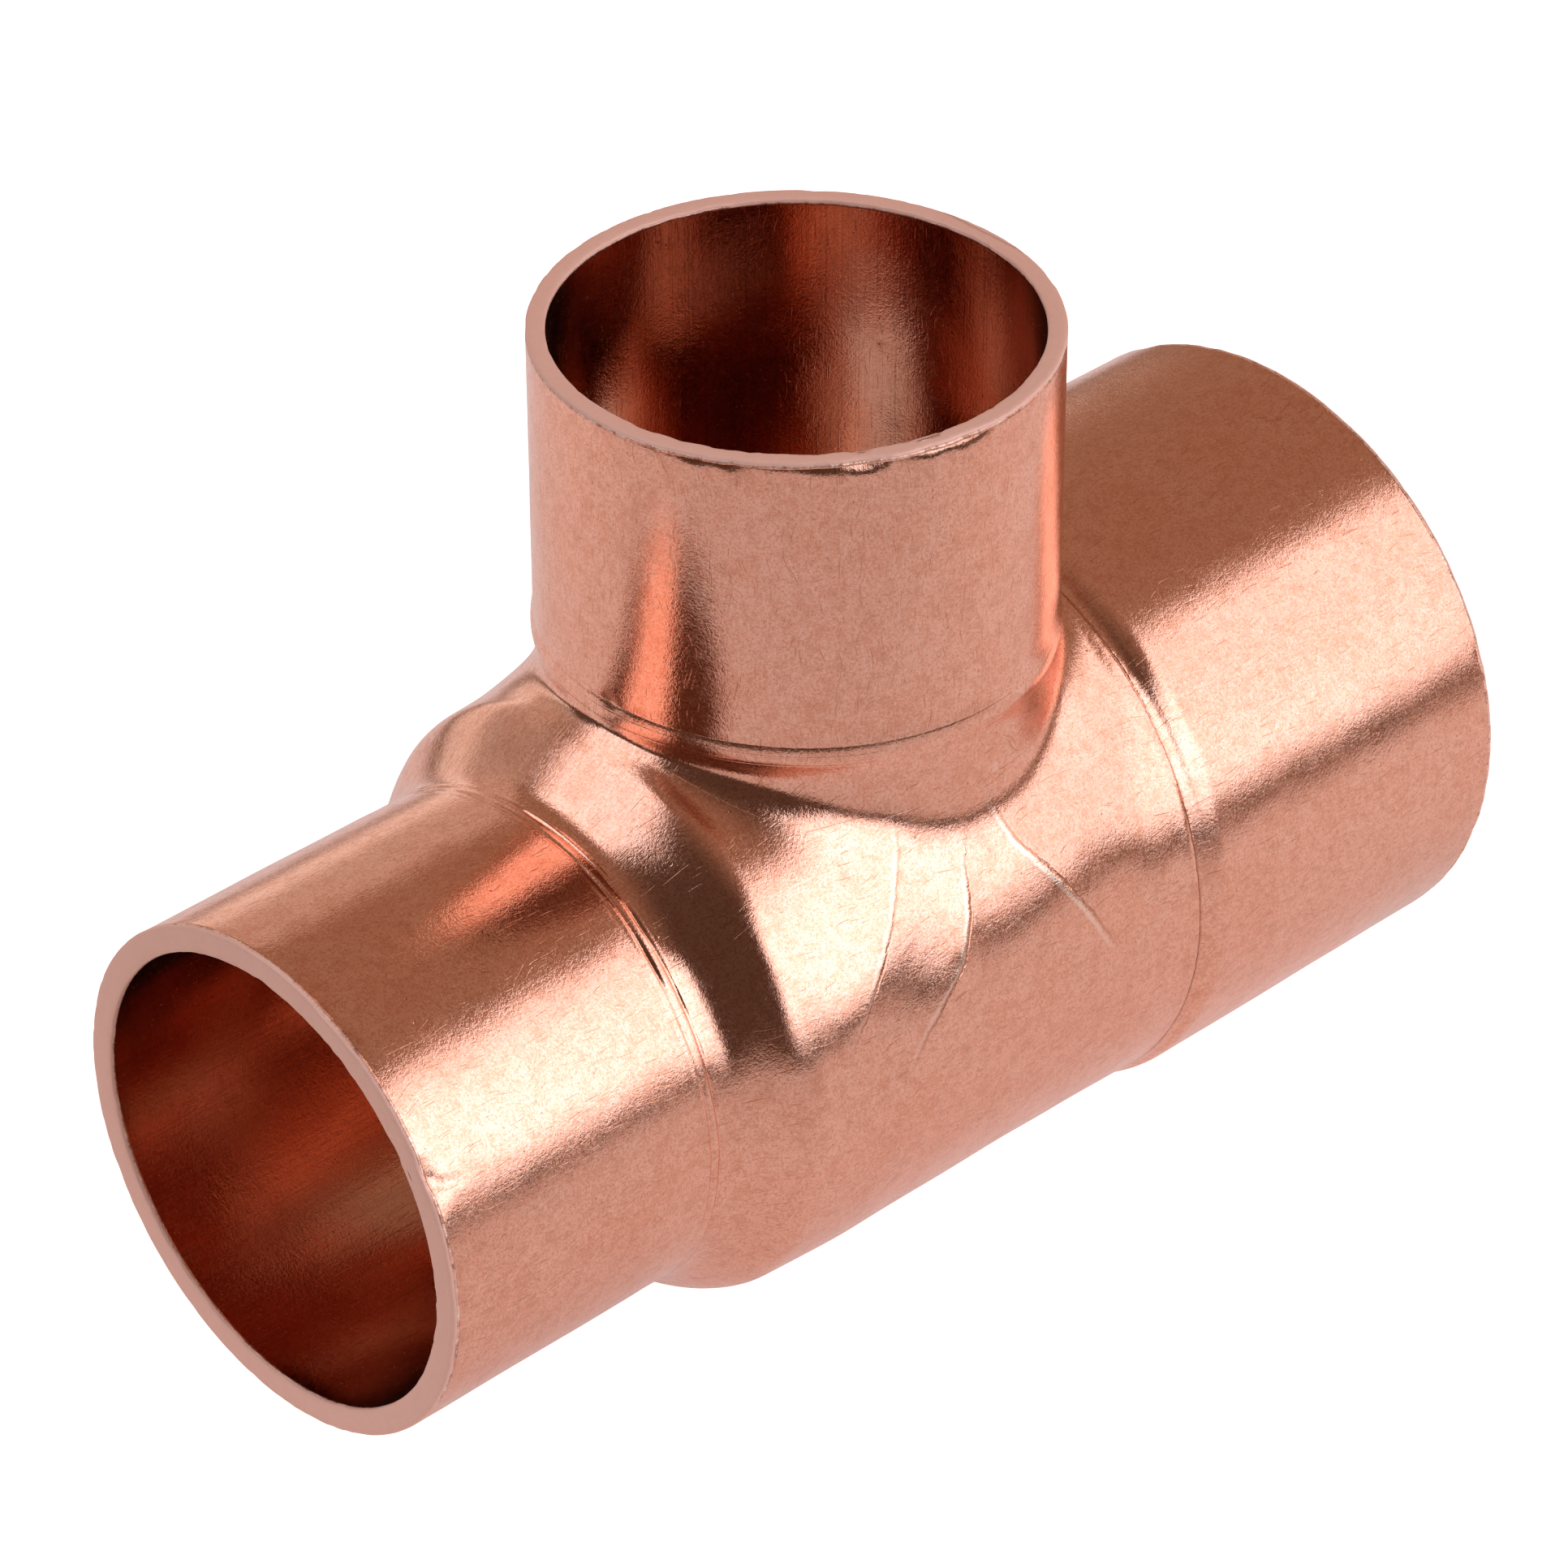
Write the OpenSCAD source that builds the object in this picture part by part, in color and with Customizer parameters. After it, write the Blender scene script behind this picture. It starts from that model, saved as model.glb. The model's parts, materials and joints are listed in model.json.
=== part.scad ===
// Reducing tee for soldered copper tube: 28 mm run socket, 22 mm run socket, 22 mm branch.
// One piece of seamless copper tube, bulged to raise the branch, then necked and sized.
// Millimetres. The run lies along X with the 28 mm end at +X, the branch points up (+Z),
// and z = 0 is the underside of the 28 mm socket, straight below the crossing of the axes.

/* [Run body] */
// Outside diameter of the run body, midway along
body_od = 29.7; // [29.4:0.1:30.0]
// Outside diameter of the body where it meets the 28 mm socket
swell_od = 30; // [29.9:0.1:30.3]
// Wall thickness of the run body
body_wall = 1.3; // [1.1:0.1:1.5]

/* [28 mm socket] */
// Outside diameter of the 28 mm socket
large_od = 30.8; // [30.5:0.1:31.2]
// Bore diameter of the 28 mm socket
large_bore = 28.12; // [28.07:0.01:28.18]
// Depth of the 28 mm socket, mouth to tube stop
large_depth = 18.4; // [18:0.1:18.8]
// Axis of the branch to the face of the 28 mm socket
large_reach = 31.7; // [31.4:0.1:33]
// Length of the ramp from the body up to the 28 mm socket
step_ramp = 1.5; // [1:0.1:1.7]

/* [22 mm run socket] */
// Outside diameter of the 22 mm run socket
small_od = 24.7; // [24.4:0.1:25.0]
// Bore diameter of both 22 mm sockets
small_bore = 22.12; // [22.07:0.01:22.18]
// Depth of both 22 mm sockets, mouth to tube stop
small_depth = 15.4; // [15:0.1:15.8]
// Axis of the branch to the face of the 22 mm run socket
small_reach = 32; // [31.8:0.1:33]
// Bore diameter at the tube stop of the 22 mm run socket
small_stop_bore = 21.3; // [20.8:0.1:21.6]
// Length of the shoulder between the 22 mm socket and the body
shoulder_len = 4.4; // [4:0.1:5]
// Depth of the rolled rings at the foot of the shoulder
ring_depth = 0.08; // [0.04:0.01:0.15]

/* [Branch] */
// Outside diameter of the branch socket
branch_od = 23.9; // [23.6:0.1:24.2]
// Axis of the run to the face of the branch
branch_reach = 30.7; // [30.4:0.1:31.5]
// Outside diameter of the neck below the branch socket
neck_od = 23.6; // [23.4:0.1:23.8]
// Bore diameter of the neck, below the branch tube stop
neck_bore = 21.3; // [20.8:0.1:21.6]
// Height of the rolled bead round the foot of the branch socket
bead_height = 0.19; // [0.1:0.01:0.3]
// Length of the bead along the branch
bead_len = 2.2; // [1.6:0.1:2.6]
// Radius of the flare from the neck into the sides of the body
flare_r = 7; // [4:0.5:8]

/* [Hidden] */
$fn = 96;

axis_z = large_od / 2;               // height of the run's axis above z = 0
over = 1;                            // how far a cutting tool runs past a face
flare_sink = 0.06;                   // the flare ends this far under the body's surface
stop_ramp = 0.3;                     // length of the slope behind each tube stop

body_r = body_od / 2;
body_bore_r = body_r - body_wall;
neck_r = neck_od / 2;
neck_bore_r = neck_bore / 2;

small_stop_x = -small_reach + small_depth;
ridge_len = 0.8;                     // length of the ridge that stops the 22 mm tube
shoulder_x = small_stop_x + 0.2;     // foot of the outer shoulder
crown_x = shoulder_x + shoulder_len; // end of the outer shoulder
crown_drop = 0.2;                    // the crown starts this far under the body's radius
crown_run = 5;                       // length over which the crown reaches the body's radius
ring_pitch = 0.42;                   // spacing of the rolled rings
ring_w = 0.2;                        // width of one ring
ring_count = 3;

large_stop_x = large_reach - large_depth;
step_x = large_stop_x - 0.2 - step_ramp;
swell_run = 8;                       // length over which the body swells towards the step
branch_stop_z = branch_reach - small_depth;

// Half a cosine wave from point a to point b, given as [radius, position], in n steps
function ease(a, b, n) = [
    for (i = [0:n]) let (t = i / n)
        [a[0] + (b[0] - a[0]) * (1 - cos(180 * t)) / 2, a[1] + (b[1] - a[1]) * t]
];

// Arc about the centre c, with radius r, from angle a0 to angle a1, in n steps
function arc(c, r, a0, a1, n) = [
    for (i = [0:n]) let (a = a0 + (a1 - a0) * i / n) [c[0] + r * cos(a), c[1] + r * sin(a)]
];

// V-shaped rings rolled into the 22 mm socket, next to the shoulder
function rings() = [
    for (i = [ring_count - 1:-1:0], side = [-1:1])
        let (x = shoulder_x - (i + 0.5) * ring_pitch)
            [small_od / 2 - (side == 0 ? ring_depth : 0), x + side * ring_w / 2]
];

// Outside of the run, as [radius, position along X]
function run_outline() = concat(
    [[0, -small_reach], [small_od / 2, -small_reach]],
    rings(),
    ease([small_od / 2, shoulder_x], [body_r - crown_drop, crown_x], 10),
    [[body_r, crown_x + crown_run], [body_r, step_x - swell_run], [swell_od / 2, step_x]],
    ease([swell_od / 2, step_x + 0.01], [large_od / 2, step_x + step_ramp], 6),
    [[large_od / 2, large_reach], [0, large_reach]]
);

// Inside of the run: two sockets, their tube stops and the waterway between them
function run_bore_outline() = concat(
    [[0, -small_reach - over], [small_bore / 2, -small_reach - over]],
    [[small_bore / 2, small_stop_x], [small_stop_bore / 2, small_stop_x + stop_ramp]],
    ease([small_stop_bore / 2, small_stop_x + ridge_len], [body_bore_r, crown_x + 0.6], 10),
    [[body_bore_r, large_stop_x - stop_ramp], [large_bore / 2, large_stop_x]],
    [[large_bore / 2, large_reach + over], [0, large_reach + over]]
);

// Centre of the flare's arc: it touches the neck and a circle just under the body's surface
flare_r0 = neck_r + flare_r;
flare_z = sqrt(pow(body_r - flare_sink + flare_r, 2) - pow(flare_r0, 2));
flare_end = 180 + atan2(flare_z, flare_r0);   // angle at which the flare meets the body

// Outside of the branch, as [radius, height above the run's axis]
function branch_outline() = let (
    bead_top = branch_stop_z + bead_len / 2,
    bead_mid = branch_od / 2 + bead_height
) concat(
    [[0, 0], [neck_r, 0]],
    arc([flare_r0, flare_z], flare_r, flare_end, 180, 8),
    ease([neck_r, bead_top - bead_len * 1.2], [bead_mid, bead_top - bead_len / 2], 5),
    ease([bead_mid, bead_top - bead_len / 2 + 0.2], [branch_od / 2, bead_top], 4),
    [[branch_od / 2, branch_reach], [0, branch_reach]]
);

// Inside of the branch: its socket, tube stop and neck, and the inner side of the flare
function branch_bore_outline() = let (r = flare_r0 - neck_bore_r) concat(
    [[0, 0], [neck_bore_r, 0]],
    arc([flare_r0, flare_z], r, flare_end, 180, 8),
    [[neck_bore_r, branch_stop_z - stop_ramp], [small_bore / 2, branch_stop_z]],
    [[small_bore / 2, branch_reach + over], [0, branch_reach + over]]
);

// Turns an outline about the run's axis
module along_run(outline) {
    rotate([0, 90, 0]) rotate_extrude() polygon(outline);
}

// Turns an outline about the branch's axis
module along_branch(outline) {
    rotate_extrude() polygon(outline);
}

// The whole fitting: one wall of copper round a tee-shaped waterway
module tee_body() {
    color([0.80, 0.50, 0.42])
    translate([0, 0, axis_z])
    difference() {
        union() {
            along_run(run_outline());
            along_branch(branch_outline());
        }
        along_run(run_bore_outline());
        along_branch(branch_bore_outline());
    }
}

tee_body();
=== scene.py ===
"""Reducing tee for soldered copper tube, 28 x 22 mm run with a 22 mm branch.

One piece of copper: a seamless tube bulged into a tee, then necked, sized and cut. The script
builds the whole skin as one closed mesh, inside and out, and gives it a worked-copper material.
Shape code works in millimetres, with the crossing of the two axes at the origin, the run along X,
the 28 mm socket at +X and the branch along +Z. It is moved to the frame and to metres at the end.
"""
import json
import math

import bmesh
import bpy
import numpy as np
from mathutils import Matrix, Vector


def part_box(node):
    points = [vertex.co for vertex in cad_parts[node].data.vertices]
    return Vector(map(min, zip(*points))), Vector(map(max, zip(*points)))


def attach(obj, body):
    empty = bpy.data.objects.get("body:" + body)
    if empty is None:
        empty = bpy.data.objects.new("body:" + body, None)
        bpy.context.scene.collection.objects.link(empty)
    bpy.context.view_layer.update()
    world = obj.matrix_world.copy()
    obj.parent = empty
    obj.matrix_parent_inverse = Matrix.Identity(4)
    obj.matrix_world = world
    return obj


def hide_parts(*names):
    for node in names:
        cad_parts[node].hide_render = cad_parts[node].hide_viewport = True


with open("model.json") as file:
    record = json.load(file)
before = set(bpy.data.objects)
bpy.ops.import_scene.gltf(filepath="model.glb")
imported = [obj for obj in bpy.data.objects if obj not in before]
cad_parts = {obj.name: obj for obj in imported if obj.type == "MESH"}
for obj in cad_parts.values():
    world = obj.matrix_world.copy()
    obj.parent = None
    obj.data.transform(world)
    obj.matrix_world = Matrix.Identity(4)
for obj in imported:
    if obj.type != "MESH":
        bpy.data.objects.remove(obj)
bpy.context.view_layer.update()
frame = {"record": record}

# ---------------------------------------------------------------------------- sizes, from the frame
MM = 0.001
low, high = (np.array(c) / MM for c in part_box("tee_body"))
mounts = {m["name"]: m for m in frame["record"]["mounts"]}
AXIS_Z = mounts["run_socket_28"]["pos_m"][2] / MM          # height of the run's axis
LEFT, RIGHT, TOP = low[0], high[0], high[2] - AXIS_Z       # the three cut faces


def bore(name):
    """Radius and depth of a socket, in mm."""
    return mounts[name]["dims"]["r_mm"], mounts[name]["dims"]["length_mm"]


LARGE_BORE, LARGE_DEPTH = bore("run_socket_28")
SMALL_BORE, SMALL_DEPTH = bore("run_socket_22")
BRANCH_BORE, BRANCH_DEPTH = bore("branch_socket")
LARGE_R = high[1]                     # outside of the 28 mm socket
SMALL_R = 12.35                       # outside of the 22 mm run socket
BRANCH_R = 11.95                      # outside of the branch socket
NECK_R = 11.8                         # outside of the neck below the branch socket
CROWN_R = 14.65                       # body, at the top of the shoulder
BODY_R = 14.85                        # body, midway
SWELL_R = 15.0                        # body, where it meets the 28 mm socket
WALL = 1.3
SMALL_STOP = LEFT + SMALL_DEPTH
LARGE_STOP = RIGHT - LARGE_DEPTH
BRANCH_STOP = TOP - BRANCH_DEPTH
SHOULDER = SMALL_STOP + 0.2           # foot of the shoulder
SHOULDER_LEN = 4.4
STEP = LARGE_STOP - 1.7               # foot of the step up to the 28 mm socket
STEP_LEN = 1.5
STOP_LIP, STOP_RAMP = 0.41, 0.4       # height and slope of the ridges that stop the two 22 mm tubes
BEAD_Z = BRANCH_STOP + 0.05           # middle of the bead round the foot of the branch socket
BEAD_RISE, BEAD_WIDTH = 0.18, 0.75


# ---------------------------------------------------------------------------- shape
def ease(t):
    """Half a cosine wave from 0 to 1."""
    return (1 - np.cos(np.pi * np.clip(t, 0, 1))) / 2


def bump(t):
    """Bell curve of height 1 and width 1."""
    return np.exp(-t * t)


def run_outside(x):
    r = SMALL_R + (CROWN_R - SMALL_R) * ease((x - SHOULDER) / SHOULDER_LEN)
    crown = SHOULDER + SHOULDER_LEN
    r = r + (BODY_R - CROWN_R) * np.sin(np.clip((x - crown) / 5, 0, 1) * np.pi / 2)
    r = r + (SWELL_R - BODY_R) * np.clip((x - STEP + 8) / 8, 0, 1)
    return r + (LARGE_R - SWELL_R) * ease((x - STEP) / STEP_LEN)


def run_inside(x):
    ridge = SMALL_STOP + 2 * STOP_RAMP
    body = BODY_R - WALL
    r = SMALL_BORE - STOP_LIP * ease((x - SMALL_STOP) / STOP_RAMP)
    r = r + (body - SMALL_BORE + STOP_LIP) * ease((x - ridge) / (SHOULDER_LEN + STOP_RAMP))
    return r + (LARGE_BORE - body) * ease((x - LARGE_STOP + STOP_RAMP) / STOP_RAMP)


def branch_outside(z):
    neck = NECK_R + (BRANCH_R - NECK_R) * ease((z - 14.6) / 1.5)
    return neck + BEAD_RISE * bump((z - BEAD_Z) / BEAD_WIDTH)


def branch_inside(z):
    return BRANCH_BORE - STOP_LIP * ease((BRANCH_STOP - z) / STOP_RAMP)


def blend(a, b, k):
    """Smooth minimum: the two surfaces run into each other over a width k."""
    h = np.maximum(k - np.abs(a - b), 0) / k
    return np.minimum(a, b) - h * h * k * 0.25


SKIRT_TILT = math.radians(20)         # slope of the skirt that the bulging leaves under the neck
SKIRT_TOP = 13.3                      # height at which the skirt leaves the neck
SKIRT_RISE = 0.4                      # how far the skirt stands out from the run's body
SKIRT_DIVE = 2.0                      # how far under the body's surface it has sunk at the bottom
SKIRT_FOOT, NECK_ROOT = 2.0, 0.9      # widths of the blends at the skirt's foot and at the neck
CROTCH_OUT, CROTCH_IN = 1.2, 2.0      # width of the blend between branch and run
CROTCH_FRONT = 1.3                    # how much wider that blend is at the front and back
PROBE = 0.01                          # step for slopes and normals


def field(p, run, branch, neck, tip, crotch):
    """Signed distance to the run, the branch and the skirt between them at the front and back."""
    x, y, z = p[..., 0], p[..., 1], p[..., 2]
    slope = (run(x + PROBE) - run(x - PROBE)) / (2 * PROBE)
    r, rho = np.hypot(y, z), np.hypot(x, y) + 1e-9
    tube = (r - run(x)) / np.sqrt(1 + slope * slope)
    side = (y / rho) ** 2
    stem = np.maximum(rho - branch(z), -z)
    skirt = (rho - neck - math.tan(SKIRT_TILT) * (tip - z)) * math.cos(SKIRT_TILT)
    limit = run(x) + SKIRT_RISE * ease((z + 6) / 12) - SKIRT_DIVE * ease((2 - z) / 14)
    skirt = -blend(-skirt, limit - r, SKIRT_FOOT)
    width = 0.6 * crotch + (0.4 * crotch + CROTCH_FRONT * side) * ease((z + 2) / 10)
    return blend(blend(stem, skirt, NECK_ROOT), tube, width)


def outer_field(p):
    return field(p, run_outside, branch_outside, NECK_R, SKIRT_TOP, CROTCH_OUT)


def inner_field(p):
    return field(p, run_inside, branch_inside, NECK_R - WALL, SKIRT_TOP - 0.6, CROTCH_IN)


def gradient(f, p):
    g = np.zeros_like(p)
    for i in range(3):
        d = np.zeros(3)
        d[i] = PROBE
        g[..., i] = (f(p + d) - f(p - d)) / (2 * PROBE)
    return g


def settle(f, p, steps=8):
    """Moves points onto the surface f = 0 by the shortest way."""
    for _ in range(steps):
        g = gradient(f, p)
        p = p - g * (f(p) / np.maximum((g * g).sum(-1), 1e-9))[..., None]
    return p


# ---------------------------------------------------------------------------- mesh
class Skin:
    """Points and faces gathered block by block. tag: 0 outside, 1 inside, 2 cut rim."""

    def __init__(self):
        self.points, self.faces, self.count = [], [], 0

    def add(self, p):
        p = np.asarray(p, float)
        ids = np.arange(self.count, self.count + p[..., 0].size).reshape(p.shape[:-1])
        self.points.append(p.reshape(-1, 3))
        self.count += ids.size
        return ids

    def rings(self, a, b, tube, tag):
        """Quads between two closed rings with the same number of points."""
        a1, b1 = np.roll(a, -1), np.roll(b, -1)
        self.faces.append((np.stack([a, a1, b1, b], -1), tube, tag))

    def halve(self, a, b, tube, tag):
        """Joins a ring of 2n points to a ring of n points."""
        a0, a1, a2 = a[0::2], a[1::2], np.roll(a, -2)[0::2]
        self.faces.append((np.stack([a0, a1, b], -1), tube, tag))
        self.faces.append((np.stack([a1, a2, np.roll(b, -1), b], -1), tube, tag))


def angles(count, fine, dense):
    """count angles round the run, closer together between the two fine angles. 0 is +Z, 90 is -Y."""
    t = np.radians(np.linspace(-180, 180, 7201))
    lo, hi = np.radians(fine)
    edge = np.radians(8)
    weight = 1 + (dense - 1) * ease((t - lo + edge) / edge) * ease((hi + edge - t) / edge)
    total = np.concatenate([[0], np.cumsum((weight[1:] + weight[:-1]) / 2)])
    total = (total - np.interp(0, t, total)) / total[-1] * count
    return total, t


def spaced(stops):
    """Positions through [(position, spacing to the next), ...]."""
    out = []
    for (a, step), (b, _) in zip(stops, stops[1:]):
        n = max(1, int(round((b - a) / step)))
        out += list(a + (b - a) * np.arange(n) / n)
    return np.array(out + [stops[-1][0]])


def tube_ring(x, r, theta):
    return np.stack([x + 0 * theta, -r * np.sin(theta), r * np.cos(theta)], -1)


def branch_ring(z, r, phi):
    return np.stack([r * np.cos(phi), r * np.sin(phi), z + 0 * phi], -1)


AROUND = 256                                    # points round the run outside
FRONT, FRONT_DENSITY = (25, 125), 1.75          # angles with closer points, and how much closer
EDGE_ANGLE = np.radians(61.5)                   # the branch's opening ends here on either side
PATCH = (-13.2, 14.0)                           # stretch of the run that the branch takes up
RELAX_STEPS = 24                                # passes that spread the points under the branch
total, t = angles(AROUND, FRONT, FRONT_DENSITY)
lowest = math.ceil(total[0] - 1e-9)
theta = np.interp(np.arange(lowest, lowest + AROUND), total, t)
ZERO = -lowest + lowest % 2                     # index of the angle 0


def even_index(angle):
    """Index of the point nearest to an angle, an even number of points away from the angle 0."""
    return int(round((np.interp(angle, theta, np.arange(AROUND)) - ZERO) / 2)) * 2 + ZERO


back, front = even_index(-EDGE_ANGLE), even_index(EDGE_ANGLE)


def skin_part(skin, f, xs, theta, zero, back, front, zs, branch_r, foot_z, steps, tag):
    """The run with a rectangular opening, and a branch whose lower end spreads out to fill it.
    Returns the rings at the three open ends, and the angles of the points round the branch."""
    left, right = (int(np.argmin(abs(xs - e))) for e in PATCH)
    grid = np.stack([tube_ring(x, run_outside(x) if tag == 0 else run_inside(x), theta)
                     for x in xs])
    grid = settle(f, grid)
    ids = skin.add(grid)
    n = len(theta)
    for i in range(len(xs) - 1):
        a, b = ids[i], ids[i + 1]
        quads = np.stack([a, np.roll(a, -1), np.roll(b, -1), b], -1)
        keep = np.ones(n, bool)
        if left <= i < right:
            keep[back:front] = False
        skin.faces.append((quads[keep], "run", tag))
    # The opening's edge, from the middle of its right side, first towards the back
    loop = np.concatenate([
        ids[right, zero:back:-1], ids[right:left:-1, back],
        ids[left, back:front], ids[left:right, front],
        ids[right, front:zero:-1],
    ])
    sides = [0, zero - back, right - left, front - back, right - left, front - zero]
    corner = [0, 46, 134, 226, 314, 360]        # angles at which the opening's corners join the branch
    phi = np.radians(np.interp(np.arange(len(loop)), np.cumsum(sides), corner))
    rows = [branch_ring(z, branch_r(z), phi) for z in zs]
    foot = foot_z[0] + (foot_z[1] - foot_z[0]) * np.sin(phi) ** 2
    last_z = zs[-1]
    spacing = 0.11 if tag == 0 else 0.33
    below = int(np.ceil((last_z - foot).max() / spacing))
    for k in range(1, below + 1):
        z = last_z + (foot - last_z) * k / below
        rows.append(np.stack([branch_r(z) * np.cos(phi), branch_r(z) * np.sin(phi), z], -1))
    # From there straight to the opening's edge, then relaxed on the surface until evenly spread
    edge = np.concatenate(skin.points)[loop]
    start = rows[-1]
    for k in range(1, steps):
        rows.append(start + (edge - start) * (k / steps) ** 1.15)
    rows = np.stack(rows)
    free = len(zs) + below
    rows[len(zs):] = settle(f, rows[len(zs):])
    for _ in range(RELAX_STEPS):
        whole = np.concatenate([rows[free - 1:], edge[None]])
        mean = (whole[:-2] + whole[2:] + np.roll(whole, 1, 1)[1:-1] + np.roll(whole, -1, 1)[1:-1]) / 4
        rows[free:] = settle(f, 0.6 * rows[free:] + 0.4 * mean, 3)
    rid = skin.add(rows)
    for k in range(len(rows) - 1):
        skin.rings(rid[k], rid[k + 1], "branch" if k < free else "run", tag)
    skin.rings(rid[-1], loop, "run", tag)
    return ids[0], ids[-1], rid[0], phi


skin = Skin()

# Positions of the rings along the run and the branch, outside and inside, each with the spacing
# that follows: closest where a ring, a ridge or a step is
out_x = spaced([(LEFT + 0.3, 0.3), (LEFT + 1.2, 0.75), (-17.7, 0.06), (-15.9, 0.27), (PATCH[0], 0.289),
                (11.1, 0.1), (13.3, 0.35), (PATCH[1], 0.85), (RIGHT - 0.9, 0.3), (RIGHT - 0.3, 0.3)])
out_z = -spaced([(-TOP + 0.3, 0.3), (-TOP + 0.9, 0.8), (-17.1, 0.12), (-16.3, 0.12)])
outer = skin_part(skin, outer_field, out_x, theta, ZERO, back, front, out_z, branch_outside,
                  (15.5, 14.3), 26, 0)
patch_n = int(np.argmin(abs(out_x - PATCH[1]))) - int(np.argmin(abs(out_x - PATCH[0])))
in_x = np.concatenate([
    spaced([(LEFT + 0.3, 0.5), (LEFT + 1.3, 0.9), (SMALL_STOP - 0.1, 0.1), (SMALL_STOP + 0.9, 0.25),
            (PATCH[0], 1.0)])[:-1],
    np.linspace(PATCH[0], PATCH[1], patch_n // 2 + 1),
    spaced([(PATCH[1], 0.9), (RIGHT - 1.3, 0.5), (RIGHT - 0.3, 0.3)])[1:]])
in_z = -spaced([(-TOP + 0.3, 0.5), (-TOP + 1.3, 0.8), (-BRANCH_STOP - 0.1, 0.1),
                (-BRANCH_STOP + 0.5, 0.1)])
inner = skin_part(skin, inner_field, in_x, theta[::2], ZERO // 2, back // 2, front // 2, in_z,
                  branch_inside, (14.2, 12.5), 22, 1)


EDGE = ((0.0, 0.12), (0.015, 0.04), (0.06, 0.0))     # rounding of a cut edge: distance in, depth


def rim(a, b, outside, inside, place, tube):
    """Closes a cut end: rounds the outer edge, crosses the wall, rounds the inner edge."""
    rows = [(outside - step, depth) for step, depth in EDGE]
    rows += [(outside - 0.06 - (outside - inside - 0.14) * k / 4, 0.0) for k in range(1, 4)]
    rows += [(inside + 0.08, 0.0), (inside + 0.02, 0.04), (inside, 0.12)]
    last = a
    for k, (r, depth) in enumerate(rows):
        ids = skin.add(place(r, depth))
        skin.rings(last, ids, tube, 0 if k < 1 else 2)
        last = ids
    skin.halve(last, b, tube, 1)


rim(outer[0], inner[0], SMALL_R, SMALL_BORE, lambda r, d: tube_ring(LEFT + d, r, theta), "run")
rim(outer[1], inner[1], LARGE_R, LARGE_BORE, lambda r, d: tube_ring(RIGHT - d, r, theta), "run")
rim(outer[2], inner[2], branch_outside(TOP), BRANCH_BORE, lambda r, d: branch_ring(TOP - d, r, outer[3]),
    "branch")

points = np.concatenate(skin.points)

# Where each point lies: 0 outside, 1 inside, 2 cut rim
tags = np.zeros(len(points))
for quads, _, tag in skin.faces:
    tags[quads.ravel()] = np.maximum(tags[quads.ravel()], 1 if tag == 1 else 0)
for quads, _, tag in skin.faces:
    if tag == 2:
        tags[quads.ravel()] = 2


# ---------------------------------------------------------------------------- worked surface
rng = np.random.default_rng(28)


def waves(p, length, count=14):
    """Smooth random field of about unit size whose waves are near the given length, in mm."""
    k = rng.normal(size=(count, 3))
    k *= (2 * np.pi / (length * rng.uniform(0.7, 1.5, count)) / np.linalg.norm(k, axis=1))[:, None]
    return np.sin(p @ k.T + rng.uniform(0, 2 * np.pi, count)).sum(1) / math.sqrt(count / 2)


def fold(p, n, path, lift, left, right):
    """A fold along path: the surface rises by lift and falls off over left and right mm on either
    side. Returns the rise, and for each point its distance to the right of the fold and the
    fold's strength there."""
    best = np.full(len(p), 1e9)
    rise, side_of, strength = np.zeros((3, len(p)))
    lengths = [np.linalg.norm(np.subtract(b, a)) for a, b in zip(path, path[1:])]
    run, whole = 0.0, sum(lengths)
    for a, b, size in zip(path, path[1:], lengths):
        a, along = np.array(a, float), np.subtract(b, a) / size
        s = (p - a) @ along
        s = np.clip(s, 0, size)
        off = p - a - s[:, None] * along
        off -= (off * n).sum(1)[:, None] * n
        d = np.linalg.norm(off, axis=1)
        side = np.sign((np.cross(along, n) * off).sum(1))
        fade = np.sin(np.pi * np.clip(0.04 + 0.92 * (run + s) / whole, 0, 1)) ** 0.7
        fade = fade * np.clip(1.5 - d / 2, 0, 1)
        near = (d < best) & (np.abs(p[:, 1] - a[1]) < 5)
        rise = np.where(near, lift * np.exp(-d / np.where(side > 0, right, left)) * fade, rise)
        side_of = np.where(near, side * d, side_of)
        strength = np.where(near, fade, strength)
        best = np.where(near, d, best)
        run += size
    return rise, np.stack([np.clip(side_of, -3, 3), strength, 0 * strength], -1)


def dent(p, centre, depth, size):
    return -depth * bump(np.linalg.norm(p - np.array(centre), axis=1) / size)


x, y, z = points.T
ring_angle = np.degrees(np.arctan2(-y, z))               # round the run, 90 is the front
branch_angle = np.degrees(np.arctan2(y, x))              # round the branch, -90 is the front
outside = tags == 0
normals = gradient(outer_field, points)
normals /= np.linalg.norm(normals, axis=1)[:, None]

RINGS = ((-17.3, 0.010, 0.12), (-16.95, 0.085, 0.09), (-16.45, 0.095, 0.09),
         (-16.2, 0.015, 0.1))                            # place along the run, depth, width
BAND, BAND_DEPTH = (-18.9, -16.9), 0.022                 # the rolled stretch beside the rings
TURNING_LINES = 5
# Edge of the forming die, just before the step up to the 28 mm socket, and top edge of the bead
die = STEP + 0.05 + 0.25 * np.clip((ring_angle - 80) / 60, 0, 1)
top_line = BEAD_Z + 0.72 + 0.35 * bump((abs(branch_angle) - 180) / 45)
near_branch = outside & (np.hypot(x, y) < BRANCH_R + 0.6) & (z > 12)


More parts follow.
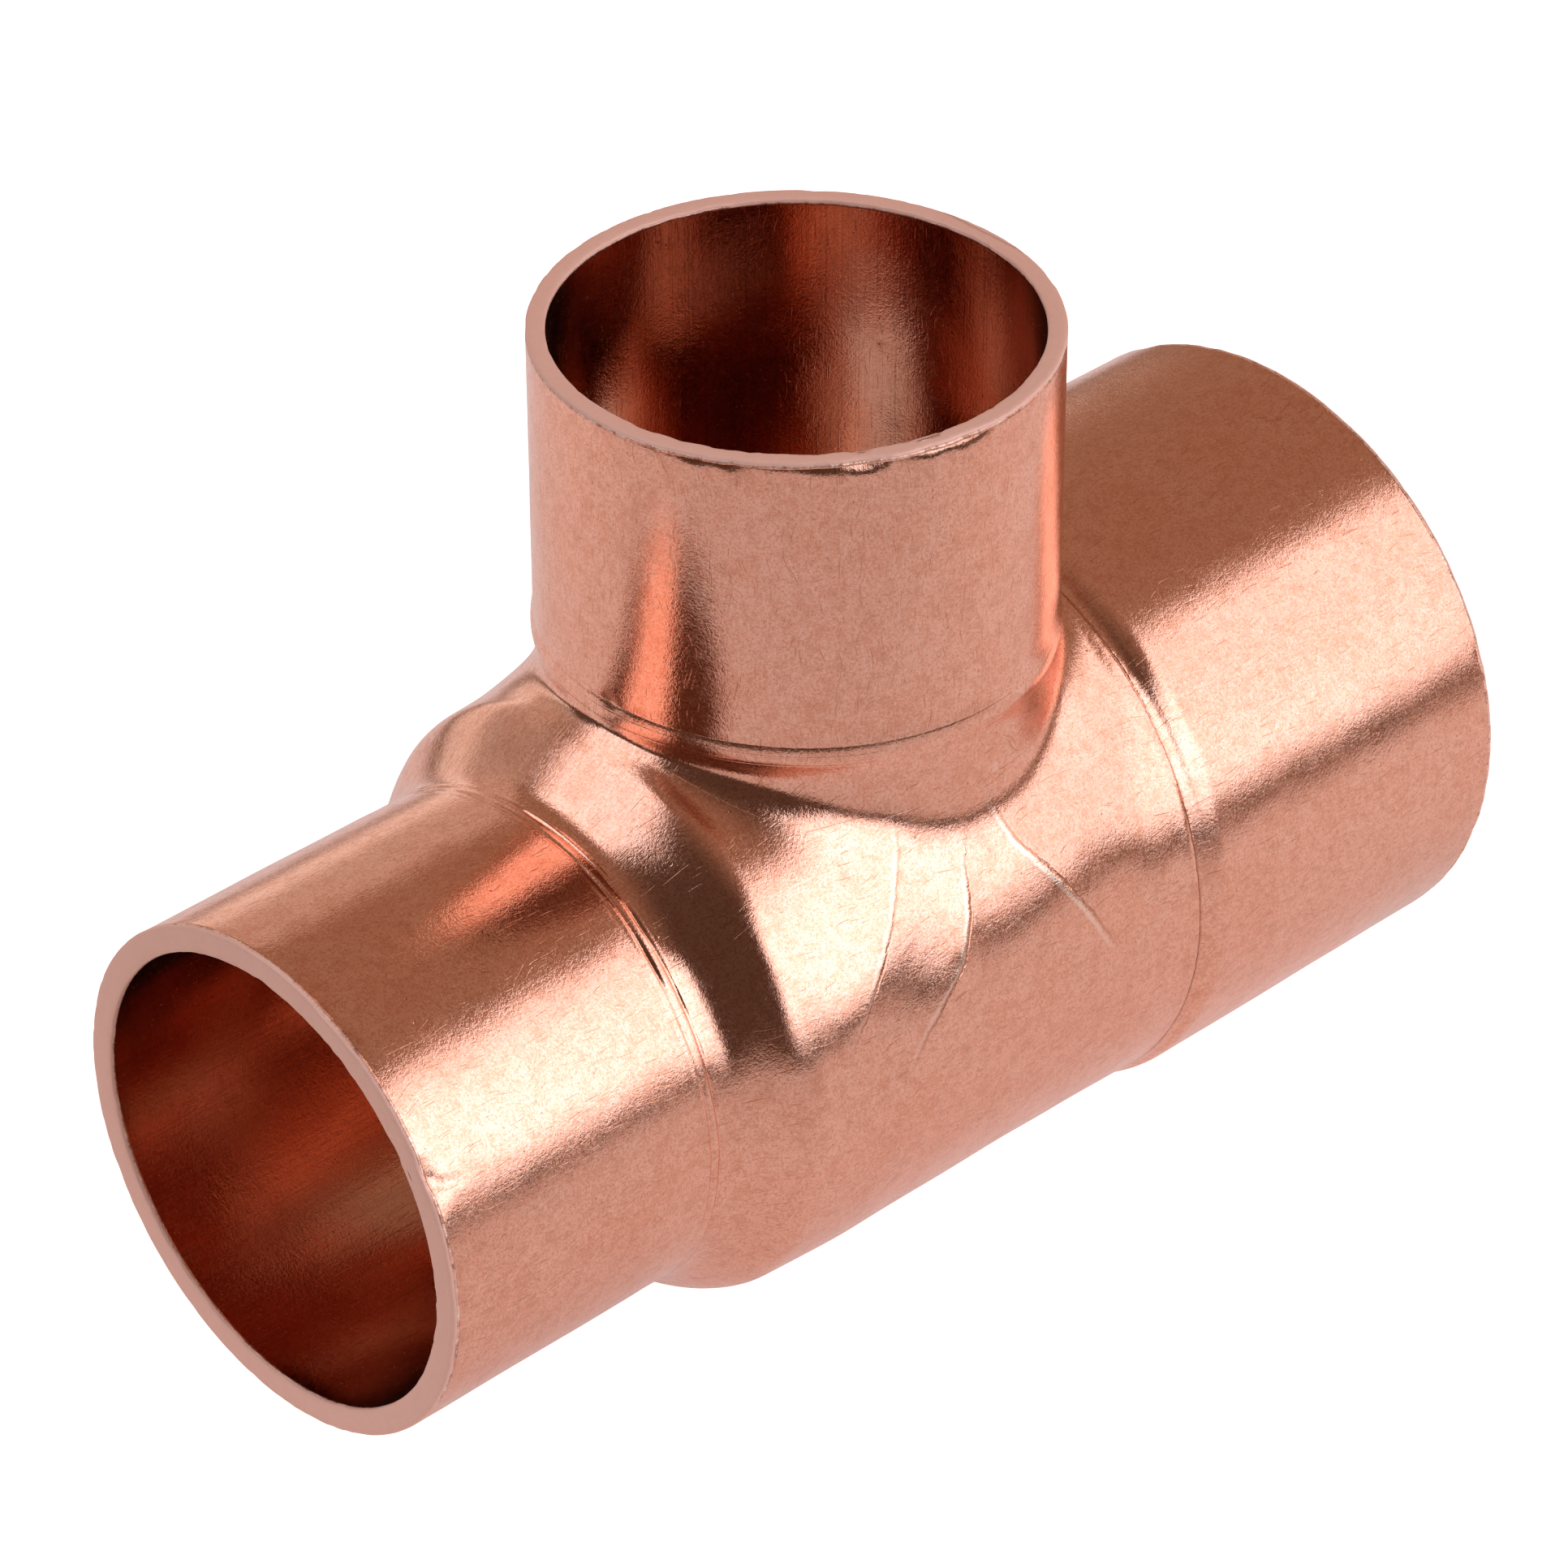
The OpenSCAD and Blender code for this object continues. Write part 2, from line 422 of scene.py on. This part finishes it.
def rolled_rings():
    """Depth of the rings at the foot of the shoulder, deepest at the front."""
    front_share = 0.35 + 0.65 * bump((ring_angle - 65) / 75)
    wander = 0.04 * waves(points, 12)
    depth = 0
    for place, deep, width in RINGS:
        uneven = 1 + 0.35 * waves(points, 2.5)
        depth = depth + deep * front_share * uneven * bump((x - place - wander) / width)
    band = ease((x - BAND[0] - 0.25 * waves(points, 3)) / 0.5) * ease((BAND[1] - x) / 0.6)
    return depth + BAND_DEPTH * band


def die_ridge():
    """The raised lip and the groove that the forming die's edge leaves."""
    fade = np.clip((150 - abs(ring_angle - 20)) / 80, 0, 1)
    return (0.035 * bump((x - die + 0.3) / 0.22) - 0.04 * bump((x - die) / 0.12)) * fade


def bead_lines():
    """Depth of the groove above the bead, deepest at the left, and of the turning lines below."""
    left_side = bump((180 - abs(branch_angle)) / 40)
    depth = np.where(near_branch, (0.003 + 0.024 * left_side) * bump((z - top_line) / 0.13), 0)
    for k in range(TURNING_LINES):
        level = 14.95 + 0.19 * k + 0.03 * waves(points, 9)
        turned_line = np.where(near_branch, 0.012 * bump((z - level) / 0.05), 0)
        depth = depth + turned_line * bump((branch_angle + 95) / 40)
    return depth


# Folds left in the front of the body by the bulging: path, rise, and reach to either side
FOLDS = (
    ([(-4.5, -11.0, 12.2), (-4.7, -11.4, 10.7), (-5.3, -12.0, 9.7), (-6.3, -12.8, 8.3),
      (-7.5, -13.4, 6.7), (-8.8, -13.9, 5.2), (-10.0, -14.2, 4.0)], 0.17, 1.6, 3.0),
    ([(-1.7, -12.7, 9.2), (-2.5, -13.9, 6.9), (-3.5, -14.5, 5.1), (-5.0, -14.9, 3.8),
      (-6.2, -15.0, 2.6), (-7.0, -15.1, 1.4)], 0.09, 0.55, 0.8),
    ([(0.6, -11.9, 10.9), (1.4, -12.9, 8.7), (2.2, -13.5, 7.6), (3.7, -14.4, 5.5),
      (5.9, -15.2, 1.9)], 0.11, 0.9, 0.6),
)
DENTS = (((-12.0, -0.6, 16.4), 0.06, 0.35), ((-3.7, -14.6, 5.2), 0.05, 0.3),
         ((-31.4, -10.4, 6.4), 0.10, 0.5))               # centre, depth, size

height = 0.012 * waves(points, 9) + 0.004 * waves(points, 3.5)
height = height - rolled_rings()
height = height + die_ridge()
height = height - bead_lines()
fold_marks = []
for path, lift, left, right in FOLDS:
    rise, mark = fold(points, normals, path, lift, left, right)
    height += rise
    fold_marks.append(mark)
for centre, depth, size in DENTS:
    height += dent(points, centre, depth, size)

# The relief fades out over the last stretch before each cut face
FADE = 0.6
fade_in = np.clip((x - LEFT) / FADE, 0, 1) * np.clip((RIGHT - x) / FADE, 0, 1)
fade_in = fade_in * np.clip((TOP - z) / FADE, 0, 1)
points = points + normals * (np.where(outside, height * fade_in, 0))[:, None]

# Inside, the metal is only a little wavy
inside_normal = gradient(inner_field, points)
inside_normal /= np.linalg.norm(inside_normal, axis=1)[:, None]
ripple = 0.012 * waves(points, 8) + 0.006 * waves(points, 3)
points = points + inside_normal * np.where(tags == 1, ripple * fade_in, 0)[:, None]

# Cut rims: nicks and burrs, always on the metal's own side of the cut face. lip and notch are the
# two larger ones on the 22 mm run socket, and worn is the rubbed front of the branch's edge.
edge_noise = np.clip(waves(points, 1.6) - 0.3, 0, 2) + 0.6 * np.clip(waves(points, 0.7) - 0.4, 0, 2)
radius_run, radius_branch = np.hypot(y, z), np.hypot(x, y)
lip = bump((ring_angle - 24) / 7)
notch = bump((ring_angle - 61) / 6) * (1 + 0.4 * waves(points, 1.0))
worn = bump((branch_angle + 122) / 42) * np.clip(0.8 + 0.35 * waves(points, 2.0), 0.2, 1.5)
BURR, INNER_NICK = 0.018, 0.04
# Axis, face, way inward, radius, least radius outside, greatest radius inside, length and depth
RIMS = (
    (0, LEFT, 1, radius_run, 11.7, 11.3, 0.12 + 0.16 * edge_noise + 0.45 * lip + 0.9 * notch,
     0.02 + 0.022 * edge_noise + 0.09 * lip + 0.20 * notch),
    (0, RIGHT, -1, radius_run, 14.8, 14.4, 0.12 + 0.16 * edge_noise, 0.02 + 0.022 * edge_noise),
    (2, TOP, -1, radius_branch, 11.5, 11.3, 0.12 + 0.20 * edge_noise + 0.35 * worn,
     0.02 + 0.020 * edge_noise + 0.16 * worn),
)
for axis, face, inward, radius, least, greatest, length, depth in RIMS:
    gap = (points[:, axis] - face) * inward
    outer_edge = (tags != 1) & (radius > least) & (gap < 3)
    cut = depth * np.clip(1 - gap / np.maximum(length, 0.05), 0, 1)
    shrink = np.where(outer_edge, 1 - cut / radius, 1)
    for across in {0, 1, 2} - {axis}:
        points[:, across] *= shrink
    burr = np.clip(0.5 * waves(points, 0.9) + 0.5 * waves(points, 0.45) - 0.2, 0, 1.5)
    points[:, axis] += np.where((tags == 2) & (gap < 0.2), inward * BURR * burr, 0)
    # The bore's edge is broken here and there too
    inner_edge = (tags == 2) & (radius < greatest) & (gap < 0.5)
    points[:, axis] += np.where(inner_edge, inward * INNER_NICK * np.clip(edge_noise, 0, 1.5), 0)

# No point leaves the box of the CAD part
points[:, 0] = np.clip(points[:, 0], LEFT, RIGHT)
points[:, 1] = np.clip(points[:, 1], low[1], high[1])
points[:, 2] = np.clip(points[:, 2], low[2] - AXIS_Z, TOP)

# ---------------------------------------------------------------------------- the piece
used = np.unique(np.concatenate([q.ravel() for q, _, _ in skin.faces]))
renumber = np.full(len(points), -1)
renumber[used] = np.arange(len(used))
BRANCH_SHEET, TAG_SHEET = 200, 70               # keeps the flat coordinates of different parts apart
faces, uvs = [], []
for quads, tube, tag in skin.faces:
    corners = points[quads]
    if tube == "run":
        angle = np.arctan2(-corners[..., 1], corners[..., 2])
        along, radius = corners[..., 0], BODY_R
    else:
        angle = np.arctan2(corners[..., 1], corners[..., 0])
        along, radius = corners[..., 2], BRANCH_R
    angle = angle[:, :1] + (angle - angle[:, :1] + np.pi) % (2 * np.pi) - np.pi
    faces += renumber[quads].tolist()
    sheet = BRANCH_SHEET if tube == "branch" else 0
    uvs.append(np.stack([along + sheet, angle * radius + TAG_SHEET * tag], -1).reshape(-1, 2))
mesh = bpy.data.meshes.new("tee_skin")
placed = (points[used] + [0, 0, AXIS_Z]) * MM
mesh.from_pydata(placed.tolist(), [], faces)
mesh.uv_layers.new(name="skin_mm").data.foreach_set("uv", np.concatenate(uvs).ravel().astype(np.float32))
for name, values in (("inside", tags == 1), ("rim", tags == 2), ("die_gap", x - die),
                     ("bead_gap", np.where(near_branch, z - top_line, 9))):
    values = values[used]
    mesh.attributes.new(name, "FLOAT", "POINT").data.foreach_set("value", values.astype(np.float32))
for i, mark in enumerate(fold_marks):
    mesh.attributes.new("fold_%d" % i, "FLOAT_VECTOR", "POINT").data.foreach_set(
        "vector", mark[used].ravel().astype(np.float32))
mesh.shade_smooth()
mesh.update()
tee = bpy.data.objects.new("tee_skin", mesh)
bpy.context.scene.collection.objects.link(tee)

bm = bmesh.new()
bm.from_mesh(mesh)
bmesh.ops.recalc_face_normals(bm, faces=bm.faces)
bm.to_mesh(mesh)
bm.free()
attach(tee, "root")
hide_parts("tee_body")


# ---------------------------------------------------------------------------- material
class Nodes:
    """Short calls for building a node tree. Sockets and plain values can be mixed as inputs."""

    def __init__(self, tree):
        self.tree = tree
        tree.nodes.clear()

    def node(self, kind, inputs=(), **settings):
        n = self.tree.nodes.new(kind)
        for key, value in settings.items():
            setattr(n, key, value)
        items = inputs.items() if isinstance(inputs, dict) else enumerate(inputs)
        for key, value in items:
            if value is None:
                continue
            if isinstance(value, bpy.types.NodeSocket):
                self.tree.links.new(value, n.inputs[key])
            else:
                n.inputs[key].default_value = value
        return n

    def math(self, operation, *inputs, clamp=False):
        return self.node("ShaderNodeMath", inputs, operation=operation, use_clamp=clamp).outputs[0]

    def add(self, *terms):
        total = terms[0]
        for term in terms[1:]:
            total = self.math("ADD", total, term)
        return total

    def times(self, *terms):
        total = terms[0]
        for term in terms[1:]:
            total = self.math("MULTIPLY", total, term)
        return total

    def ramp(self, value, low, high, to_low=0.0, to_high=1.0, smooth=True):
        return self.node("ShaderNodeMapRange", (value, low, high, to_low, to_high),
                         interpolation_type="SMOOTHSTEP" if smooth else "LINEAR").outputs[0]

    def noise(self, vector, scale, detail=2.0, rough=0.5, warp=0.0):
        n = self.node("ShaderNodeTexNoise", {"Vector": vector, "Scale": scale, "Detail": detail,
                                             "Roughness": rough, "Distortion": warp})
        return n.outputs["Factor"] if "Factor" in n.outputs else n.outputs[0]

    def mix(self, factor, a, b):
        n = self.tree.nodes.new("ShaderNodeMix")
        n.data_type = "RGBA"
        for key, value in ((0, factor), (6, a), (7, b)):
            if isinstance(value, bpy.types.NodeSocket):
                self.tree.links.new(value, n.inputs[key])
            else:
                n.inputs[key].default_value = value
        return n.outputs[2]

    def stretch(self, vector, turn, long, short, shift=0.0):
        """Flat coordinates turned by turn degrees, one unit long mm by short mm."""
        return self.node("ShaderNodeMapping", (vector, (shift, shift * 1.7, 0),
                                               (0, 0, math.radians(turn)), (1 / long, 1 / short, 1)),
                         vector_type="POINT").outputs[0]


def color(r, g, b):
    return (r, g, b, 1.0)


copper = bpy.data.materials.new("worked_copper")
copper.use_nodes = True
t = Nodes(copper.node_tree)
solid = t.node("ShaderNodeVectorMath", {0: t.node("ShaderNodeTexCoord").outputs["Object"],
                                        "Scale": 1 / MM}, operation="SCALE").outputs[0]
flat = t.node("ShaderNodeUVMap", uv_map="skin_mm").outputs[0]
inside_mask = t.node("ShaderNodeAttribute", attribute_name="inside").outputs["Fac"]
rim_mask = t.node("ShaderNodeAttribute", attribute_name="rim").outputs["Fac"]
outer_mask = t.math("SUBTRACT", 1.0, inside_mask, clamp=True)

# Slight bends in the scratches
drift = t.node("ShaderNodeTexNoise", {"Vector": solid, "Scale": 0.25, "Detail": 1.0}).outputs["Color"]
drift = t.node("ShaderNodeVectorMath", {0: drift, "Scale": 2.4}, operation="SCALE").outputs[0]
bent = t.node("ShaderNodeVectorMath", {0: flat, 1: drift}, operation="ADD").outputs[0]


def scratches(turn, long, short, share, width, shift):
    """Short straight scratches in one direction: thin cells, of which a share holds a scratch."""
    cell = t.node("ShaderNodeTexVoronoi", {"Vector": t.stretch(bent, turn, long, short, shift),
                                           "Scale": 1.0}, voronoi_dimensions="2D", feature="F1")
    chosen = t.math("GREATER_THAN", t.node("ShaderNodeSeparateColor", (cell.outputs["Color"],)).outputs[0],
                    1 - share)
    streak = t.ramp(cell.outputs["Distance"], width, width * 0.3)
    return t.times(streak, chosen)


def layered(rows):
    """The strongest of several sets of scratches."""
    out = None
    for row in rows:
        one = scratches(*row)
        out = one if out is None else t.math("MAXIMUM", out, one)
    return out


marks = layered((
    (12, 2.6, 0.13, 0.05, 0.26, 3.1), (-38, 1.8, 0.11, 0.06, 0.24, 9.7), (64, 1.6, 0.11, 0.05, 0.24, 15.3),
    (-75, 3.0, 0.13, 0.03, 0.24, 33.7)))
hairs = layered(((32, 2.8, 0.12, 0.12, 0.26, 51.1), (-55, 2.0, 0.10, 0.12, 0.26, 59.7)))

pits = t.node("ShaderNodeTexVoronoi", {"Vector": flat, "Scale": 2.2}, voronoi_dimensions="2D", feature="F1")
pit = t.times(t.ramp(pits.outputs["Distance"], 0.17, 0.05), t.math("GREATER_THAN", t.node(
    "ShaderNodeSeparateColor", (pits.outputs["Color"],)).outputs[1], 0.99))

grain = t.noise(solid, 7.0, 2.0, 0.65)
pebble = t.noise(solid, 2.2, 2.0, 0.55)
speck = t.ramp(t.noise(solid, 5.0, 3.0, 0.7, 0.6), 0.60, 0.68)
cloud = t.noise(solid, 0.30, 2.0, 0.6)
stain = t.noise(solid, 1.1, 4.0, 0.70)
drawn = t.noise(t.stretch(flat, 0, 14, 0.10), 1.0, 2.0, 0.6)
turned = t.noise(t.stretch(flat, 90, 9, 0.13, 5.0), 1.0, 1.0, 0.6)

fine = t.noise(solid, 16.0, 1.0, 0.6)
mottle = t.noise(solid, 1.5, 4.0, 0.68)
# Noise for the cut edges' nicks in relief, and for the painted shade and painted glints along them
nick_relief_shade_and_glint = t.noise(solid, 2.4, 3.0, 0.75)
rim_edge = t.math("MULTIPLY", t.times(rim_mask, t.math("SUBTRACT", 1.0, rim_mask)), 4.0, clamp=True)

# Colour: clean pinkish copper, browner where it is stained, darker in pits and scratches
tone = t.mix(t.ramp(cloud, 0.35, 0.68), color(0.98, 0.53, 0.385), color(0.95, 0.47, 0.325))
tone = t.mix(t.times(t.ramp(stain, 0.50, 0.70), 0.55), tone, color(0.74, 0.33, 0.20))
tone = t.mix(t.times(t.ramp(grain, 0.50, 0.66), 0.55), tone, color(1.0, 0.64, 0.51))
tone = t.mix(t.times(t.ramp(grain, 0.48, 0.34), 0.65), tone, color(0.72, 0.31, 0.19))
tone = t.mix(t.times(t.ramp(mottle, 0.47, 0.66), 0.58), tone, color(0.80, 0.36, 0.23))
tone = t.mix(t.times(t.ramp(fine, 0.52, 0.66), 0.35), tone, color(1.0, 0.70, 0.57))
tone = t.mix(t.times(t.ramp(fine, 0.47, 0.33), 0.45), tone, color(0.68, 0.29, 0.17))
tone = t.mix(t.times(marks, 0.65), tone, color(0.60, 0.23, 0.12))
tone = t.mix(t.times(hairs, 0.40), tone, color(1.0, 0.72, 0.60))
tone = t.mix(t.times(speck, 0.45), tone, color(0.55, 0.25, 0.15))
tone = t.mix(t.times(pit, 0.5), tone, color(0.30, 0.14, 0.09))
tone = t.mix(t.times(inside_mask, 0.65), tone, color(0.58, 0.27, 0.17))
tone = t.mix(t.times(inside_mask, t.ramp(drawn, 0.50, 0.66), 0.35), tone, color(0.80, 0.42, 0.24))
tone = t.mix(t.times(inside_mask, t.ramp(drawn, 0.48, 0.34), 0.35), tone, color(0.30, 0.12, 0.07))
tone = t.mix(t.times(rim_mask, 0.85), tone, color(1.0, 0.61, 0.49))
# Painted shade in the nicks along the cut edges, and painted glints on their burrs
tone = t.mix(t.times(rim_edge, t.ramp(nick_relief_shade_and_glint, 0.54, 0.62), 0.8), tone, color(0.35, 0.16, 0.10))
tone = t.mix(t.times(rim_edge, t.ramp(nick_relief_shade_and_glint, 0.46, 0.38), 0.8), tone, color(1.0, 0.86, 0.72))

rough = t.add(0.09, t.times(t.ramp(cloud, 0.3, 0.7), 0.04), t.times(t.ramp(stain, 0.45, 0.75), 0.08),
              t.times(t.ramp(grain, 0.3, 0.7), 0.04), t.times(rim_mask, 0.38), t.times(speck, 0.12))

# Relief, in mm
relief = t.add(t.times(grain, 0.0085), t.times(pebble, 0.0052), t.times(drawn, 0.0004),
               t.times(turned, 0.0004), t.times(marks, -0.0022), t.times(hairs, -0.0004),
               t.times(pit, -0.006), t.times(fine, 0.0032), t.times(rim_edge, nick_relief_shade_and_glint, 0.06),
               t.times(inside_mask, drawn, 0.0016))


def line(distance, width):
    """1 on a line and 0 at width from it."""
    return t.ramp(t.math("ABSOLUTE", distance), width, 0.0)


def value(name):
    return t.node("ShaderNodeAttribute", attribute_name=name).outputs["Fac"]


# Sharp edges of the folds: a ledge with a groove at its foot, with painted shade in the groove and a painted
# highlight above it
for i, (ledge, groove, width, groove_shade, ledge_gleam) in enumerate((
        (0.016, 0.012, 0.12, 0.45, 0.35), (0.034, 0.024, 0.11, 0.75, 0.7), (0.034, 0.024, 0.13, 0.80, 0.9))):
    gap, strength, _ = t.node("ShaderNodeSeparateXYZ", (t.node(
        "ShaderNodeAttribute", attribute_name="fold_%d" % i).outputs["Vector"],)).outputs
    gap = t.add(gap, t.times(t.math("SUBTRACT", pebble, 0.5), 0.25))
    relief = t.add(relief, t.times(strength, t.add(t.times(t.ramp(gap, -width * 1.6, width * 1.6), ledge),
                                                   t.times(line(gap, width), -groove))))
    # Painted shade in the fold's groove, then a painted highlight along the ledge above it
    tone = t.mix(t.times(strength, line(gap, width), groove_shade), tone, color(0.45, 0.19, 0.11))
    tone = t.mix(t.times(strength, line(t.add(gap, -2.0 * width), 1.4 * width), ledge_gleam), tone,
                 color(1.0, 0.80, 0.66))

# Die edge, bead edges and the draw lines that run down over the bead at the front
die_gap, bead_gap = value("die_gap"), value("bead_gap")
px, py, pz = t.node("ShaderNodeSeparateXYZ", (solid,)).outputs
girth = t.times(t.math("ARCTAN2", py, px), BRANCH_R)
die_edge = t.times(line(t.add(die_gap, t.times(t.math("SUBTRACT", pebble, 0.5), 0.15)), 0.10), outer_mask)
# Painted shade along the groove at the die edge
tone = t.mix(t.times(die_edge, 0.5), tone, color(0.50, 0.22, 0.13))
relief = t.add(relief, t.times(die_edge, -0.026), t.times(line(t.add(die_gap, -0.30), 0.45), -0.030),
               t.times(line(bead_gap, 0.09), -0.004),
               t.times(line(t.add(bead_gap, 0.42), 0.05), -0.003),
               t.times(line(t.add(bead_gap, 0.95), 0.06), -0.005))
tall = t.times(t.ramp(pz, AXIS_Z + 11.3, AXIS_Z + 13.0), t.ramp(pz, AXIS_Z + 24.0, AXIS_Z + 18.0), outer_mask)
for angle, strength in ((-113.6, 0.006), (-112.5, 0.008), (-111.4, 0.007), (-92.1, 0.006), (-91.0, 0.007),
                        (-89.9, 0.005)):
    shift = -math.radians(angle) * BRANCH_R
    relief = t.add(relief, t.times(line(t.add(girth, shift), 0.07), tall, -strength))
surface = t.node("ShaderNodeBump", {"Strength": 1.0, "Distance": MM, "Height": relief})
shader = t.node("ShaderNodeBsdfPrincipled", {"Base Color": tone, "Roughness": rough,
                                             "Metallic": t.math("SUBTRACT", 1.0, t.times(rim_mask, 0.85)),
                                             "Normal": surface.outputs[0]})
t.node("ShaderNodeOutputMaterial", {"Surface": shader.outputs[0]})
mesh.materials.clear()
mesh.materials.append(copper)

# ---------------------------------------------------------------------------- floor and light
centre = Vector((0, 0, AXIS_Z * MM))


def disc(name, radius, rings, around):
    """A flat round floor, a hair below z = 0 so that it never coincides with the metal."""
    level = -0.03 * MM
    verts, quads = [(0, 0, level)], []
    for i in range(1, rings + 1):
        r = radius * i / rings
        for a in np.linspace(0, 2 * np.pi, around, False):
            verts.append((r * math.cos(a), r * math.sin(a), level))
    for j in range(around):
        quads.append((0, 1 + j, 1 + (j + 1) % around))
    for i in range(rings - 1):
        for j in range(around):
            k = (j + 1) % around
            quads.append((1 + i * around + j, 1 + (i + 1) * around + j, 1 + (i + 1) * around + k,
                          1 + i * around + k))
    m = bpy.data.meshes.new(name)
    m.from_pydata(verts, [], quads)
    o = bpy.data.objects.new(name, m)
    bpy.context.scene.collection.objects.link(o)
    return o


FLOOR_RADIUS = 0.134
FLOOR_DIM, FLOOR_LIT = 0.22, 0.42           # glow of the table at its near and its far side
floor = disc("floor", FLOOR_RADIUS, 6, 96)
paper = bpy.data.materials.new("pale_table")
paper.use_nodes = True
p = Nodes(paper.node_tree)
place = p.node("ShaderNodeTexCoord").outputs["Object"]
away = p.node("ShaderNodeVectorMath", {0: place, 1: (0.69, 0.72, 0.0)}, operation="DOT_PRODUCT")
away = away.outputs["Value"]
glow = p.add(p.ramp(away, -0.08, 0.03, FLOOR_DIM, FLOOR_LIT), p.times(p.noise(place, 30.0), 0.02))
seen = p.node("ShaderNodeLightPath").outputs["Is Camera Ray"]
p.node("ShaderNodeOutputMaterial", {"Surface": p.node("ShaderNodeBsdfPrincipled", {
    "Base Color": color(0.54, 0.51, 0.50), "Roughness": 0.9, "Specular IOR Level": 0.0,
    "Emission Color": color(1.0, 0.86, 0.85),
    "Emission Strength": p.add(glow, p.times(seen, 0.80))}).outputs[0]})
floor.data.materials.append(paper)

world = bpy.data.worlds.new("studio")
bpy.context.scene.world = world
world.use_nodes = True
w = Nodes(world.node_tree)
seen = w.node("ShaderNodeLightPath").outputs["Is Camera Ray"]
way = w.node("ShaderNodeTexCoord").outputs["Generated"]
side = w.node("ShaderNodeVectorMath", {0: way, 1: (0.80, 0.30, 0.52)}, operation="DOT_PRODUCT")
side = side.outputs["Value"]
dim = w.node("ShaderNodeBackground", {"Color": color(1.0, 0.62, 0.44),
                                      "Strength": w.ramp(side, -0.2, 0.85, 0.085, 0.33)})
pale = w.node("ShaderNodeBackground", {"Color": color(1, 1, 1), "Strength": 0.97})
w.node("ShaderNodeOutputWorld", {"Surface": w.node("ShaderNodeMixShader", (
    seen, dim.outputs[0], pale.outputs[0])).outputs[0]})


def softbox(name, azimuth, elevation, distance, width, height, radiance, tint=(1, 1, 1), roll=0):
    """A flat panel of even brightness facing the object. Azimuth 0 is +Y and 90 is +X."""
    light = bpy.data.lights.new(name, "AREA")
    light.shape = "RECTANGLE"
    light.size, light.size_y = width, height
    light.energy = radiance * math.pi * width * height
    light.color = tint
    a, e = math.radians(azimuth), math.radians(elevation)
    out = Vector((math.sin(a) * math.cos(e), math.cos(a) * math.cos(e), math.sin(e)))
    o = bpy.data.objects.new(name, light)
    o.matrix_world = Matrix.Translation(centre + out * distance) @ (
        (-out).to_track_quat("-Z", "Y").to_matrix().to_4x4()) @ Matrix.Rotation(
            math.radians(roll), 4, "Z")
    o.visible_camera = False
    bpy.context.scene.collection.objects.link(o)
    return o


def upright(name, azimuth, distance, width, bottom, top, radiance, tint=(1, 1, 1)):
    """A vertical panel between two elevations, in degrees, as seen from the object."""
    lo, hi = (distance * math.tan(math.radians(e)) for e in (bottom, top))
    o = softbox(name, azimuth, 0, distance, width, hi - lo, radiance, tint)
    o.location.z += (lo + hi) / 2
    return o


TOP_ROLL = 25
COOL = (0.98, 1.01, 1.12)
upright("key", 152, 0.60, 1.30, -1.5, 50, 1.2, COOL)
upright("key_middle", 166, 0.57, 0.58, 5, 44, 0.45, COOL)
upright("key_core", 168, 0.54, 0.38, 11, 38, 0.4, (0.85, 1.0, 1.18))
softbox("top", -62, 42, 0.60, 0.48, 0.75, 1.22, COOL, roll=TOP_ROLL)
upright("back_low", 5, 0.60, 0.80, -4, 11, 0.62)
upright("back_high", 5, 0.65, 0.90, 11, 40, 0.25)

# ---------------------------------------------------------------------------- camera
VIEW_AZIMUTH, VIEW_ELEVATION = math.radians(-43.714), math.radians(34.552)
VIEW_DISTANCE = 288.12 * MM
AIM_RIGHT, AIM_UP = -0.55 * MM, 4.96 * MM
back_dir = Vector((math.sin(VIEW_AZIMUTH) * math.cos(VIEW_ELEVATION),
                   -math.cos(VIEW_AZIMUTH) * math.cos(VIEW_ELEVATION), math.sin(VIEW_ELEVATION)))
right_dir = Vector((math.cos(VIEW_AZIMUTH), math.sin(VIEW_AZIMUTH), 0))
up_dir = back_dir.cross(right_dir)
lens = bpy.data.cameras.new("camera")
lens.sensor_width = 36.0
lens.lens = 141.385
lens.clip_start, lens.clip_end = 0.01, 10.0
camera = bpy.data.objects.new("camera", lens)
turn = Matrix((right_dir, up_dir, back_dir)).transposed().to_4x4()
place = centre + back_dir * VIEW_DISTANCE + right_dir * AIM_RIGHT + up_dir * AIM_UP
camera.matrix_world = Matrix.Translation(place) @ turn
bpy.context.scene.collection.objects.link(camera)
bpy.context.scene.camera = camera
bpy.context.scene.view_settings.view_transform = "Standard"

bpy.context.view_layer.update()
